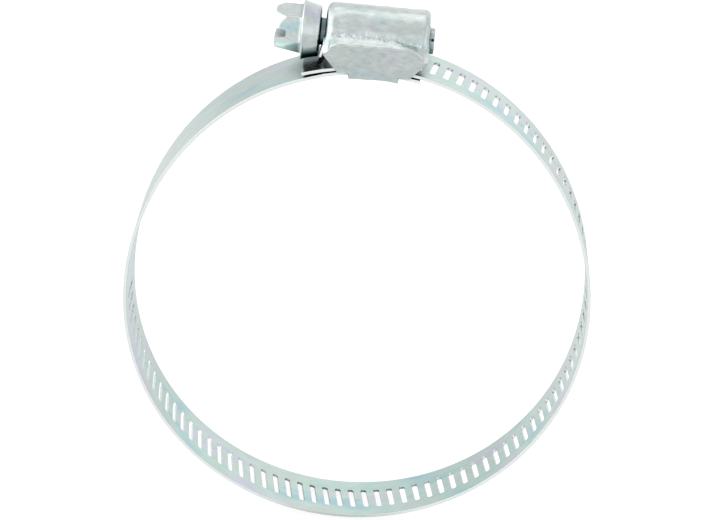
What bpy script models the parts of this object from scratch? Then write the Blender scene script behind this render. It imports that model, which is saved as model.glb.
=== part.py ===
"""Worm-drive hose clamp with a 12.7 mm slotted band, a stamped housing and a slotted hex-head worm screw.

The clamp stands on its ring: the ring's axis runs along Y, the housing is on top and the screw lies along X
with its head at -X. The origin is the middle of the band's inner face under the housing. One steel strip makes
the band. It is anchored in the housing, runs left, down and round, comes back into the housing over its own
anchored end and leaves at -X as the tail. The strip bends as the screw pulls it in, so it is built in short
sections that turn about Y at their ends.
"""

import math

import bmesh
import bpy
import numpy as np

TURN = 2 * math.pi

# Band strip
BAND_WIDTH = 0.0127
BAND_THICKNESS = 0.0006
SLOT_PITCH = 0.002575
SLOT_WIDTH = 0.0011
SLOT_LENGTH = 0.0064
SLOT_CORNER = 0.0004
SLOT_SLANT = 0.145  # length per width; about the lean of the thread's flanks
SLOT_SHIFT = 0.00035  # slot number 0 lies this far to the right of the screw's middle
SLOTS_PER_SECTION = 12
FIRST_SLOT = -81  # the slot under the screw is number 0
LAST_SLOT = 4
SECTION_GAP = 0.0002

# Ring, as the middle of the strip's thickness
RING_RADIUS = 0.0455
SPIRAL_RISE = 0.00105  # how far one turn of the strip climbs over the anchored end
OVAL = 0.0014  # the ring is taller than wide
EGG = 0.00025  # and a little fuller towards the top
LEVELLING = SPIRAL_RISE / (2 * TURN)  # keeps the strip level where it passes under the screw
ANCHOR_END_ANGLE = math.radians(-10.0)
FIRST_HINGE_SLOT = -104.5  # between two slot positions, just left of the housing
LAST_HINGE_SLOT = 3.5
TAIL_TIP_ANGLE = TURN + math.radians(16.5)
ANCHOR_LIFT = 0.0002  # the anchored end sits this much higher inside the housing
LIFT_ANGLES = (math.radians(9.0), math.radians(15.5))
SEAT_HALF_WIDTH = 0.0036  # of the flat seat under the screw, between the housing's tabs
SEAT_RISE = 0.00002  # the seat is pressed this much higher than the strip's edges

# Worm screw
SCREW_HEIGHT = 0.0052
HELIX_PITCH = SLOT_PITCH
THREAD_RADIUS = 0.0041
THREAD_ROOT_RADIUS = 0.0028
THREAD_CREST_HALF = 0.0002
THREAD_ROOT_HALF = 0.00055
THREAD_TURNS = 6
HEX_FLATS = 0.00794
HEX_FACE_TILT = math.radians(16.0)  # one flat looks this far above -Y
HEAD_END_RADIUS = 0.00375
HEAD_CHAMFER_SLOPE = math.tan(math.radians(60.0))
HEAD_END_X = -0.0188
FLANGE_X = (-0.0140, -0.0107)
FLANGE_RADIUS = 0.0053
FLANGE_TAPERED_RADIUS = 0.0046
NECK_RADIUS = 0.00245
PILOT_RADIUS = 0.00235
PILOT_END_X = 0.0100
SCREW_SIDES = 24
DRIVER_SLOT_WIDTH = 0.0018
DRIVER_SLOT_DEPTH = 0.0019
DRIVER_SLOT_TILT = math.radians(8.0)

# Housing, with heights measured from the screw's axis
SHEET = 0.0006
HOUSING_HALF_LENGTH = 0.00935
HOUSING_SHIFT = -0.0003  # along X, from the band seat to the housing's middle
HUMP_RADIUS = 0.0055
HUMP_FOOT_ANGLE = math.radians(22.0)
SKIRT_HALF_WIDTH = 0.00735
SKIRT_TOP = 0.0006
CORNER_TOP = -0.00115
CORNER_BOTTOM = -0.0041
CORNER_HALF_LENGTH = 0.0062
TAB_HALF_LENGTH = 0.0043
TAB_BOTTOM = -0.00592
TAB_REACH = 0.0038
TAB_CURVE_RADIUS = 0.040
END_CURL_RADIUS = 0.0012
END_WALL = 0.0012


def clear_scene():
    for thing in list(bpy.data.objects):
        bpy.data.objects.remove(thing, do_unlink=True)


def steel(name, colour, roughness):
    material = bpy.data.materials.new(name)
    material.use_nodes = True
    shader = material.node_tree.nodes["Principled BSDF"]
    shader.inputs["Base Color"].default_value = (*colour, 1.0)
    shader.inputs["Metallic"].default_value = 1.0
    shader.inputs["Roughness"].default_value = roughness
    return material


def add_piece(name, points, faces, origin, material):
    """A mesh object whose points are given in the clamp's frame and whose own origin is at origin."""
    mesh = bpy.data.meshes.new(name)
    mesh.from_pydata([tuple(np.subtract(point, origin)) for point in points], [], faces)
    shaped = bmesh.new()
    shaped.from_mesh(mesh)
    bmesh.ops.recalc_face_normals(shaped, faces=shaped.faces)
    shaped.to_mesh(mesh)
    shaped.free()
    mesh.shade_smooth()
    mesh.set_sharp_from_angle(angle=math.radians(30.0))
    mesh.materials.append(material)
    piece = bpy.data.objects.new(name, mesh)
    piece.location = origin
    bpy.context.scene.collection.objects.link(piece)
    return piece


def smooth_step(value):
    value = min(max(value, 0.0), 1.0)
    return value * value * (3.0 - 2.0 * value)


# ---------------------------------------------------------------- the band


def ring_distance(angle):
    """From the ring's centre to the middle of the strip, at an angle from the top towards -X."""
    spiral = SPIRAL_RISE * (angle / TURN - 1.0) - LEVELLING * np.sin(2 * angle)
    return RING_RADIUS + spiral + OVAL * np.cos(2 * angle) + EGG * np.cos(3 * angle)


RING_CENTRE_Z = BAND_THICKNESS / 2 - ANCHOR_LIFT - float(ring_distance(0.0))


class BandPath:
    """The strip's middle line. Its length is counted from the slot under the screw, number 0."""

    def __init__(self):
        self.angles = np.linspace(ANCHOR_END_ANGLE - 0.1, TAIL_TIP_ANGLE + 0.1, 40001)
        distance = ring_distance(self.angles)
        self.x = -distance * np.sin(self.angles)
        self.z = RING_CENTRE_Z + distance * np.cos(self.angles)
        steps = np.hypot(np.diff(self.x), np.diff(self.z))
        self.length = np.concatenate([[0.0], np.cumsum(steps)])
        self.length -= np.interp(TURN, self.angles, self.length) - SLOT_SHIFT

    def length_at(self, angle):
        return float(np.interp(angle, self.angles, self.length))

    def middle(self, length):
        return np.array([np.interp(length, self.length, self.x), np.interp(length, self.length, self.z)])

    def outward(self, length):
        step = 0.0002
        ahead, behind = self.middle(length + step), self.middle(length - step)
        along = (ahead - behind) / np.linalg.norm(ahead - behind)
        return np.array([along[1], -along[0]])

    def lift(self, length):
        """How far the anchored end is raised where the housing holds it."""
        angle = float(np.interp(length, self.length, self.angles))
        start, end = LIFT_ANGLES
        return ANCHOR_LIFT * (1.0 - smooth_step((angle - start) / (end - start)))

    def point(self, length, across, height):
        """A point of the strip, height above its middle line and across along Y."""
        x, z = self.middle(length) + self.outward(length) * (height + self.lift(length))
        return (float(x), across, float(z))


def slot_outline(centre):
    """(length, across) of a slot's corners. The slot leans as the screw's thread does."""
    half_width, half_length = SLOT_WIDTH / 2, SLOT_LENGTH / 2
    inner_width, inner_length = half_width - SLOT_CORNER, half_length - SLOT_CORNER
    corners = [
        (half_width, -inner_length),
        (half_width, inner_length),
        (inner_width, half_length),
        (-inner_width, half_length),
        (-half_width, inner_length),
        (-half_width, -inner_length),
        (-inner_width, -half_length),
        (inner_width, -half_length),
    ]
    return [(centre + along - across * SLOT_SLANT, across) for along, across in corners]


class StripMesh:
    """The points and faces of one stretch of strip, built as cells from one end to the other."""

    def __init__(self, path):
        self.path = path
        self.points = []
        self.faces = []

    def pair(self, length, across, rise=0.0):
        """Adds an inner and an outer point and returns their numbers."""
        for height in (-BAND_THICKNESS / 2, BAND_THICKNESS / 2):
            self.points.append(self.path.point(length, across, height + rise))
        return (len(self.points) - 2, len(self.points) - 1)

    def line(self, length, slanted, seat=()):
        """The pairs of a line across the strip: its two edges, and the seat's edges between them."""
        slant = SLOT_SLANT if slanted else 0.0
        half = BAND_WIDTH / 2
        middle = [self.pair(length, across, SEAT_RISE) for across in seat]
        front = self.pair(length + half * slant, -half)
        return [front, *middle, self.pair(length - half * slant, half)]

    def sheet(self, corners):
        """An inner and an outer face over the same corners."""
        self.faces.append([inner for inner, _ in corners])
        self.faces.append([outer for _, outer in reversed(corners)])

    def wall(self, first, second):
        self.faces.append([first[0], first[1], second[1], second[0]])

    def cell(self, start, end, slot_centre):
        """The strip between two lines, with a slot if slot_centre is given."""
        start_front, start_back = start[0], start[-1]
        end_front, end_back = end[0], end[-1]
        self.wall(start_front, end_front)
        self.wall(start_back, end_back)
        if slot_centre is None and len(start) == len(end):
            for number in range(len(start) - 1):
                self.sheet([start[number], end[number], end[number + 1], start[number + 1]])
            return
        if slot_centre is None:
            self.sheet([*reversed(start), *end])
            return
        slot = [self.pair(*corner) for corner in slot_outline(slot_centre)]
        self.sheet([end_front, end_back, slot[1], slot[0]])
        self.sheet([end_back, slot[2], slot[1]])
        self.sheet([end_back, start_back, slot[3], slot[2]])
        self.sheet([start_back, slot[4], slot[3]])
        self.sheet([start_back, start_front, slot[5], slot[4]])
        self.sheet([start_front, slot[6], slot[5]])
        self.sheet([start_front, end_front, slot[7], slot[6]])
        self.sheet([end_front, slot[0], slot[7]])
        for number, corner in enumerate(slot):
            self.wall(corner, slot[(number + 1) % len(slot)])

    def build(self, stations, slots):
        """stations holds each line's arguments; slots holds a slot's centre or None for each cell."""
        lines = [self.line(*station) for station in stations]
        self.wall(lines[0][0], lines[0][-1])
        self.wall(lines[-1][0], lines[-1][-1])
        for start, end, slot in zip(lines, lines[1:], slots):
            self.cell(start, end, slot)


def add_strip(name, path, stations, slots, origin, material):
    strip = StripMesh(path)
    strip.build(stations, slots)
    return add_piece(name, strip.points, strip.faces, origin, material)


def add_anchored_end(path, material):
    """The smooth end that the housing holds, from its free end to the first hinge."""
    free_end = path.length_at(ANCHOR_END_ANGLE)
    under_screw = path.length_at(0.0)
    hinge = FIRST_HINGE_SLOT * SLOT_PITCH
    before = np.linspace(free_end, under_screw - SLOT_PITCH / 2, 4)
    after = np.linspace(under_screw + SLOT_PITCH / 2, hinge - SECTION_GAP / 2, 6)
    seat = (-SEAT_HALF_WIDTH, SEAT_HALF_WIDTH)
    stations = [(length, False) for length in before[:-1]]
    stations += [(before[-1], False, seat), (after[0], False, seat)]
    stations += [(length, False) for length in after[1:-1]]
    stations.append((after[-1], True))
    add_strip("band_anchored_end", path, stations, [None] * (len(stations) - 1), (0, 0, 0), material)


def add_moving_sections(path, material):
    """The sections from the first hinge to the tail, each with its origin on the hinge at its start."""
    slot_number = FIRST_HINGE_SLOT
    section = 1
    while slot_number <= LAST_HINGE_SLOT:
        last = slot_number == LAST_HINGE_SLOT
        slot_count = LAST_SLOT - int(LAST_HINGE_SLOT) if last else SLOTS_PER_SECTION
        numbers = [slot_number + 0.5 + step for step in range(slot_count)]
        stations = [(slot_number * SLOT_PITCH + SECTION_GAP / 2, True)]
        stations += [((number + 0.5) * SLOT_PITCH, True) for number in numbers[:-1]]
        slots = [n * SLOT_PITCH if FIRST_SLOT <= n <= LAST_SLOT else None for n in numbers]
        section_end = (numbers[-1] + 0.5) * SLOT_PITCH
        if last:
            stations += [(section_end, True), (path.length_at(TAIL_TIP_ANGLE), False)]
            slots.append(None)
        else:
            stations.append((section_end - SECTION_GAP / 2, True))
        x, z = path.middle(slot_number * SLOT_PITCH)
        name = "band_tail" if last else f"band_section_{section:02d}"
        add_strip(name, path, stations, slots, (float(x), 0.0, float(z)), material)
        slot_number += SLOTS_PER_SECTION
        section += 1


# ---------------------------------------------------------------- the worm screw


def screw_angle(side):
    """Angle of a side's corner about +X from +Y. The hexagon's corners fall on every fourth one."""
    return math.pi - HEX_FACE_TILT + TURN / 4 + side * TURN / SCREW_SIDES


def hex_distance(angle):
    """From the axis to the hexagon's outline."""
    from_flat = (angle - (math.pi - HEX_FACE_TILT) + TURN / 12) % (TURN / 6) - TURN / 12
    return HEX_FLATS / 2 / math.cos(from_flat)


def polar_point(x, distance, angle):
    return (x, distance * math.cos(angle), SCREW_HEIGHT + distance * math.sin(angle))


class ScrewMesh:
    """Rings of points along the screw, joined in turn, with a helical thread in the middle."""

    def __init__(self):
        self.points = []
        self.faces = []
        self.angles = [screw_angle(side) for side in range(SCREW_SIDES)]

    def ring(self, x_of, distance_of):
        first = len(self.points)
        self.points += [polar_point(x_of(a), distance_of(a), a) for a in self.angles]
        return list(range(first, first + SCREW_SIDES))

    def round_ring(self, x, radius):
        return self.ring(lambda angle: x, lambda angle: radius)

    def join(self, first, second):
        for side in range(SCREW_SIDES):
            after = (side + 1) % SCREW_SIDES
            self.faces.append([first[side], first[after], second[after], second[side]])

    def join_all(self, rings):
        for first, second in zip(rings, rings[1:]):
            self.join(first, second)

    def thread(self, start_ring, end_ring):
        """Rows of points that follow the helix, four to a pitch: foot, crest, crest, foot."""
        profile = [
            (-THREAD_ROOT_HALF, False),
            (-THREAD_CREST_HALF, True),
            (THREAD_CREST_HALF, True),
            (THREAD_ROOT_HALF, False),
        ]
        at_bottom = 0.75  # the share of a turn from +Y to -Z, where the thread meets slot number 0
        ramp = 0.5
        finish = THREAD_TURNS - 1.0 / SCREW_SIDES
        rows = []
        for turn in range(THREAD_TURNS):
            for offset, raised in profile:
                row = []
                for side, angle in enumerate(self.angles):
                    done = turn + side / SCREW_SIDES
                    height = max(0.0, min(1.0, done / ramp, (finish - done) / ramp)) if raised else 0.0
                    reach = THREAD_ROOT_RADIUS + height * (THREAD_RADIUS - THREAD_ROOT_RADIUS)
                    turned = turn - THREAD_TURNS // 2 + angle / TURN - at_bottom
                    row.append(len(self.points))
                    self.points.append(polar_point(SLOT_SHIFT + HELIX_PITCH * turned + offset, reach, angle))
                rows.append(row)
        self.join_rows(rows, len(profile))
        self.close_thread(rows, len(profile), start_ring, end_ring)

    def join_rows(self, rows, per_pitch):
        for number, (row, following) in enumerate(zip(rows, rows[1:])):
            for side in range(SCREW_SIDES - 1):
                self.faces.append([row[side], row[side + 1], following[side + 1], following[side]])
            if number + 1 + per_pitch < len(rows):
                wrapped, wrapped_next = rows[number + per_pitch][0], rows[number + 1 + per_pitch][0]
                self.faces.append([row[-1], wrapped, wrapped_next, following[-1]])

    def close_thread(self, rows, per_pitch, start_ring, end_ring):
        """Joins the helix to the plain rings at its ends, where the thread has run out to nothing."""
        for side in range(SCREW_SIDES - 1):
            self.faces.append([start_ring[side], start_ring[side + 1], rows[0][side + 1], rows[0][side]])
            self.faces.append([rows[-1][side], rows[-1][side + 1], end_ring[side + 1], end_ring[side]])
        seam = [rows[number][0] for number in range(per_pitch, -1, -1)]
        self.faces.append([rows[0][-1], *seam, start_ring[0], start_ring[-1]])
        seam = [rows[number][-1] for number in range(len(rows) - 1 - per_pitch, len(rows))]
        self.faces.append([rows[-1][0], *seam, end_ring[-1], end_ring[0]])


def add_worm_screw(material):
    screw = ScrewMesh()
    flange_left, flange_right = FLANGE_X
    edge = 0.0004
    thread_half = THREAD_TURNS / 2 * HELIX_PITCH + THREAD_ROOT_HALF + edge
    end = screw.round_ring(HEAD_END_X, HEAD_END_RADIUS)
    chamfer = screw.ring(
        lambda angle: HEAD_END_X + (hex_distance(angle) - HEAD_END_RADIUS) / HEAD_CHAMFER_SLOPE,
        hex_distance,
    )
    head = screw.ring(lambda angle: flange_left, hex_distance)
    flange = [
        screw.round_ring(flange_left, FLANGE_RADIUS - edge),
        screw.round_ring(flange_left + edge, FLANGE_RADIUS),
        screw.round_ring(flange_left + 3 * edge, FLANGE_RADIUS),
        screw.round_ring(flange_right - edge / 2, FLANGE_TAPERED_RADIUS),
        screw.round_ring(flange_right, FLANGE_TAPERED_RADIUS - edge / 2),
        screw.round_ring(flange_right, NECK_RADIUS),
    ]
    thread_start, thread_end = SLOT_SHIFT - thread_half, SLOT_SHIFT + thread_half
    neck = screw.round_ring(thread_start - edge / 2, NECK_RADIUS)
    start = screw.round_ring(thread_start, THREAD_ROOT_RADIUS)
    finish = screw.round_ring(thread_end, THREAD_ROOT_RADIUS)
    pilot = [
        screw.round_ring(thread_end + edge / 2, PILOT_RADIUS),
        screw.round_ring(PILOT_END_X - edge, PILOT_RADIUS),
        screw.round_ring(PILOT_END_X, PILOT_RADIUS - edge),
    ]
    screw.faces.append(end)
    screw.join_all([end, chamfer, head, *flange, neck, start])
    screw.thread(start, finish)
    screw.join_all([finish, *pilot])
    screw.faces.append(pilot[-1])
    piece = add_piece("worm_screw", screw.points, screw.faces, (0.0, 0.0, SCREW_HEIGHT), material)
    cut_driver_slot(piece)


def cut_driver_slot(screw):
    """A screwdriver slot across the head's end, nearly square to one pair of flats."""
    bpy.ops.mesh.primitive_cube_add(size=1.0)
    cutter = bpy.context.active_object
    cutter.name = "driver_slot_cutter"
    for corner in cutter.data.vertices:
        corner.co.x *= 2 * DRIVER_SLOT_DEPTH
        corner.co.y *= 2 * HEX_FLATS
        corner.co.z *= DRIVER_SLOT_WIDTH
    cutter.location = (HEAD_END_X, 0.0, SCREW_HEIGHT)
    cutter.rotation_euler = (-DRIVER_SLOT_TILT, 0.0, 0.0)
    cutter.display_type = "WIRE"
    cutter.hide_render = True
    cut = screw.modifiers.new("driver_slot", "BOOLEAN")
    cut.operation = "DIFFERENCE"
    cut.solver = "EXACT"
    cut.object = cutter


# ---------------------------------------------------------------- the housing


def hump_outline():
    """(across, height) points over the hump from front to back, on the housing's outer face."""
    steps = 12
    sweep = math.pi - 2 * HUMP_FOOT_ANGLE
    turns = [math.pi - HUMP_FOOT_ANGLE - sweep * step / steps for step in range(steps + 1)]
    return [(HUMP_RADIUS * math.cos(turn), HUMP_RADIUS * math.sin(turn)) for turn in turns]


def side_outline():
    """(across, height) points down one side, from the skirt's top to the tab's inner end."""
    bend = 0.0007
    return [
        (SKIRT_HALF_WIDTH, SKIRT_TOP),
        (SKIRT_HALF_WIDTH, CORNER_TOP),
        (SKIRT_HALF_WIDTH, CORNER_BOTTOM),
        (SKIRT_HALF_WIDTH, TAB_BOTTOM + bend),
        (SKIRT_HALF_WIDTH - 0.3 * bend, TAB_BOTTOM + 0.3 * bend),
        (SKIRT_HALF_WIDTH - bend, TAB_BOTTOM),
        (TAB_REACH, TAB_BOTTOM),
    ]


def column_places():
    """(x on the hump, inward curl, x on the skirts) of each column, from the left end to the right one."""
    curl = [(0.0, END_CURL_RADIUS + END_WALL)]
    for step in range(4):
        turned = math.radians(30.0 * step)
        curl.append((END_CURL_RADIUS * (1 - math.cos(turned)), END_CURL_RADIUS * (1 - math.sin(turned))))
    left = []
    for step, (distance, inward) in enumerate(curl):
        skirt_distance = END_CURL_RADIUS * step / (len(curl) - 1)
        left.append((distance - HOUSING_HALF_LENGTH, inward, skirt_distance - HOUSING_HALF_LENGTH))
    middle = [(share * TAB_HALF_LENGTH, 0.0, share * TAB_HALF_LENGTH) for share in (-1.0, 0.0, 1.0)]
    right = [(-hump_x, inward, -skirt_x) for hump_x, inward, skirt_x in reversed(left)]
    return left + middle + right


def shortened(x, height):
    """The skirts' lower corners are cut off, so their lower rows are shorter outside the tabs."""
    cut = (CORNER_TOP - height) / (CORNER_TOP - CORNER_BOTTOM)
    cut = min(max(cut, 0.0), 1.0)
    full_reach = HOUSING_HALF_LENGTH - TAB_HALF_LENGTH
    kept = 1.0 - cut * (HOUSING_HALF_LENGTH - CORNER_HALF_LENGTH) / full_reach
    outside = max(abs(x) - TAB_HALF_LENGTH, 0.0)
    return math.copysign(min(abs(x), TAB_HALF_LENGTH) + outside * kept, x)


def housing_point(across, height, column):
    hump_x, inward, skirt_x = column
    reach = math.hypot(across, height)
    if height < CORNER_BOTTOM:
        x = HOUSING_SHIFT + skirt_x
        follow_ring = x * x / (2 * TAB_CURVE_RADIUS)
        return (x, across, SCREW_HEIGHT + height - follow_ring)
    if reach > HUMP_RADIUS + SHEET / 2:
        return (HOUSING_SHIFT + shortened(skirt_x, height), across, SCREW_HEIGHT + height)
    scale = 1.0 - inward / reach
    return (HOUSING_SHIFT + hump_x, across * scale, SCREW_HEIGHT + height * scale)


def add_housing(material):
    """One folded sheet: the outer face is a grid of rows across and columns along, thickened inwards."""
    side = side_outline()
    front = [(-across, height) for across, height in reversed(side)]
    rows = [*front, *hump_outline(), *side]
    columns = column_places()
    tab_rows = 4
    points = {}
    faces = []
    for row in range(len(rows) - 1):
        in_tab = row < tab_rows or row >= len(rows) - 1 - tab_rows
        for column in range(len(columns) - 1):
            ends = (columns[column], columns[column + 1])
            if in_tab and max(abs(skirt_x) for _, _, skirt_x in ends) > TAB_HALF_LENGTH:
                continue
            corners = [(row, column), (row, column + 1), (row + 1, column + 1), (row + 1, column)]
            faces.append([points.setdefault(corner, len(points)) for corner in corners])
    places = [housing_point(*rows[row], columns[column]) for row, column in points]
    housing = add_piece("housing", places, faces, (0.0, 0.0, 0.0), material)
    plate = housing.modifiers.new("sheet", "SOLIDIFY")
    plate.thickness = SHEET
    plate.offset = -1.0
    plate.use_even_offset = True


def main():
    clear_scene()
    band_steel = steel("band_zinc", (0.66, 0.71, 0.71), 0.28)
    housing_steel = steel("housing_zinc", (0.70, 0.72, 0.73), 0.32)
    screw_steel = steel("screw_zinc", (0.72, 0.74, 0.75), 0.35)
    path = BandPath()
    add_housing(housing_steel)
    add_worm_screw(screw_steel)
    add_anchored_end(path, band_steel)
    add_moving_sections(path, band_steel)


main()
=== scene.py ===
"""Looks of the worm-drive hose clamp: a seamless slotted strip, the pressed housing and the worm screw."""

import math

import bmesh
import bpy
import numpy as np
from mathutils import Matrix, Vector, noise


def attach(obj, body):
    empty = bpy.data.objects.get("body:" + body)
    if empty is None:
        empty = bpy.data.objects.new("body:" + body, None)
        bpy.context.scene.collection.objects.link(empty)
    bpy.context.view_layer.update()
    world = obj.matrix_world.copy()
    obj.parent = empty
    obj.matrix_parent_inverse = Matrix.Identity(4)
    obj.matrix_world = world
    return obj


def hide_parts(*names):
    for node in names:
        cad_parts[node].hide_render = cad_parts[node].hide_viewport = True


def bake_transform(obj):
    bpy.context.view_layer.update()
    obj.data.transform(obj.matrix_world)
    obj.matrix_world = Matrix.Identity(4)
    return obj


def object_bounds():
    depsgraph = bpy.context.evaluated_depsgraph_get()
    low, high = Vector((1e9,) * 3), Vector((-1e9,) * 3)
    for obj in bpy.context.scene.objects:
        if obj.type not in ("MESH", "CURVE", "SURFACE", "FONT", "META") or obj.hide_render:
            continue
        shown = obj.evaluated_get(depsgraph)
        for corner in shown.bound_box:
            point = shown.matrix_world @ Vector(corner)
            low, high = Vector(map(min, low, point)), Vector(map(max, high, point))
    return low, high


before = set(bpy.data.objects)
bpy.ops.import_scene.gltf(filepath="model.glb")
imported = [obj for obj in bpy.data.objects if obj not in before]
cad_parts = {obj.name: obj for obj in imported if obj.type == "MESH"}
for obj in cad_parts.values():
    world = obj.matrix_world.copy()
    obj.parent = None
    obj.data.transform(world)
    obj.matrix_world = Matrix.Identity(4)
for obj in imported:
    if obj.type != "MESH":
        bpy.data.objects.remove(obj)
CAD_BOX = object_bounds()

MM = 0.001
TURN = 2 * math.pi

# ---------------------------------------------------------------- sizes, in millimetres unless said otherwise

# Strip, on the same path as the CAD strip
WIDTH = 12.7
THICKNESS = 0.6
PITCH = 2.575
SLOT_WIDTH = 1.05
SLOT_LENGTH = 6.5
SLOT_CORNER = 0.46
SLOT_SLANT = 0.148  # length per width
SLOT_SHIFT = 0.35  # slot number 0 lies this far to the right of the screw's middle
ARC_STEPS = 5
EDGE = 0.07  # rounding of every cut edge of the strip
FIRST_SLOT = -81
LAST_SLOT = 4
RING_RADIUS = 45.5
SPIRAL_RISE = 1.05
OVAL = 1.4
EGG = 0.25
LEVELLING = SPIRAL_RISE / (2 * TURN)
ANCHOR_END_ANGLE = math.radians(-10.0)
TAIL_TIP_ANGLE = TURN + math.radians(16.5)
ANCHOR_LIFT = 0.2
LIFT_ANGLES = (math.radians(9.0), math.radians(15.5))
END_CLEARANCE = 1.5  # no line across the strip lies nearer to one of its ends than this
FIRST_HINGE = -104.5  # in slots, counted from the slot under the screw
LAST_HINGE = 3.5
HINGE_STEP = 12
FIRST_SEAM = -107.5  # hidden in the housing's left end
BEND_MARGIN = 1.2  # distance from a seam to the points taken near a stretch's ends

# Screw
AXIS_Z = 5.2
THREAD_RADIUS = 4.1
THREAD_ROOT = 2.8
THREAD_TURNS = 6
THREAD_RUN_OUT = 1.0
HEX_FLATS = 7.94
HEX_TILT = math.radians(16.0)
HEAD_END = -18.8
HEAD_ROUNDING = 0.35
END_FACE = 3.1  # radius of the flat inside the rounded end
FLARE = 0.24  # how far the head's foot spreads where it meets the flange
TAPER_START = 3.85
TAPER_OFFSET = 0.22  # the blank under the flats sits a little off centre
TAPER_SLOPE = 0.29
TAPER_LEAN = 0.13  # and its taper is steeper on one side
TAPER_LEAN_ANGLE = math.radians(74.0)
HEAD_ROOT = -14.5  # the flats are plain metal from here to the flange
FLANGE_LEFT = -14.0
RIM_WIDTH = 0.3
FLANGE_RIGHT = -10.7
FLANGE_RADIUS = 5.4
FLANGE_TAPERED = 4.6
NECK = 2.45
PILOT = 2.35
PILOT_END = 10.0
DRIVER_SLOT_WIDTHS = (1.9, 1.25)  # at its mouth and at its floor
DRIVER_SLOT_DEPTH = 2.1
DRIVER_SLOT_TILT = math.radians(6.0)
DRIVER_SLOT_RISE = -0.1

# Housing
SHEET = 0.65
HALF_LENGTH = 9.35
HOUSING_SHIFT = -0.35
SKIRT_FLARE = 0.2
HUMP = 5.5
HUMP_END_ANGLE = 22.0
SKIRT_Y = 7.35
CORNER_TOP = -1.75
CORNER_BOTTOM = -4.95
CORNER_LENGTH = 6.4
TAB_LENGTH = 4.45
TAB_BOTTOM = -5.92
TAB_REACH = 3.9
TAB_CURVE = 40.0
CURL_LEFT = 1.4
CURL_RIGHT = 1.05
END_WALL = 1.1


def smooth_step(value):
    value = np.clip(value, 0.0, 1.0)
    return value * value * (3.0 - 2.0 * value)


# ---------------------------------------------------------------- materials


def add_node(tree, kind, inputs=None, **settings):
    """Adds a node. Each input is a value, or a socket to link from."""
    node = tree.nodes.new(kind)
    for name, value in settings.items():
        setattr(node, name, value)
    for key, value in (inputs or {}).items():
        socket = node.inputs[key]
        if isinstance(value, bpy.types.NodeSocket):
            tree.links.new(value, socket)
        else:
            socket.default_value = value
    return node


def math_node(tree, operation, first, second=0.0, clamp=False):
    inputs = {0: first, 1: second}
    return add_node(tree, "ShaderNodeMath", inputs, operation=operation, use_clamp=clamp).outputs[0]


def stretched_noise(tree, coords, stretch, detail=3.0, roughness=0.55, distortion=0.0):
    """Noise whose features measure about 1/stretch metres in each direction."""
    scaled = add_node(tree, "ShaderNodeVectorMath", {0: coords, 1: stretch}, operation="MULTIPLY").outputs[0]
    inputs = {"Vector": scaled, "Scale": 1.0, "Detail": detail, "Roughness": roughness}
    inputs["Distortion"] = distortion
    return add_node(tree, "ShaderNodeTexNoise", inputs).outputs["Fac"]


def colour_ramp(tree, factor, stops):
    ramp = add_node(tree, "ShaderNodeValToRGB", {"Fac": factor})
    elements = ramp.color_ramp.elements
    while len(elements) < len(stops):
        elements.new(0.5)
    for element, (position, colour) in zip(elements, stops):
        element.position = position
        element.color = (*colour, 1.0)
    return ramp.outputs["Color"]


def mix_colour(tree, factor, first, second, blend="MIX"):
    """Mixes two colours. They are inputs 6 and 7 of the mix node, and its output 2."""
    inputs = {0: factor, 6: first, 7: second}
    return add_node(tree, "ShaderNodeMix", inputs, data_type="RGBA", blend_type=blend).outputs[2]


NOISE_RANGE = (0.3, 0.7)  # where nearly all of a noise texture's values lie
OPENNESS_RANGE = (0.22, 0.78)  # painted shade: from fully darkened to not darkened, as the share of open sky near the surface
# painted shade: near-black colour mixed in where other surfaces come close
PAINTED_SHADE_COLOUR = (0.02, 0.06, 0.075, 1.0)
# near white: bare cut metal, brightened into a painted highlight
CUT_AND_HIGHLIGHT_COLOUR = (0.90, 0.93, 0.92, 1.0)


def remap(tree, value, source, target):
    """Maps a value from one range to another, and holds it inside the second one."""
    inputs = {"Value": value, 1: source[0], 2: source[1], 3: target[0], 4: target[1]}
    return add_node(tree, "ShaderNodeMapRange", inputs).outputs[0]


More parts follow.
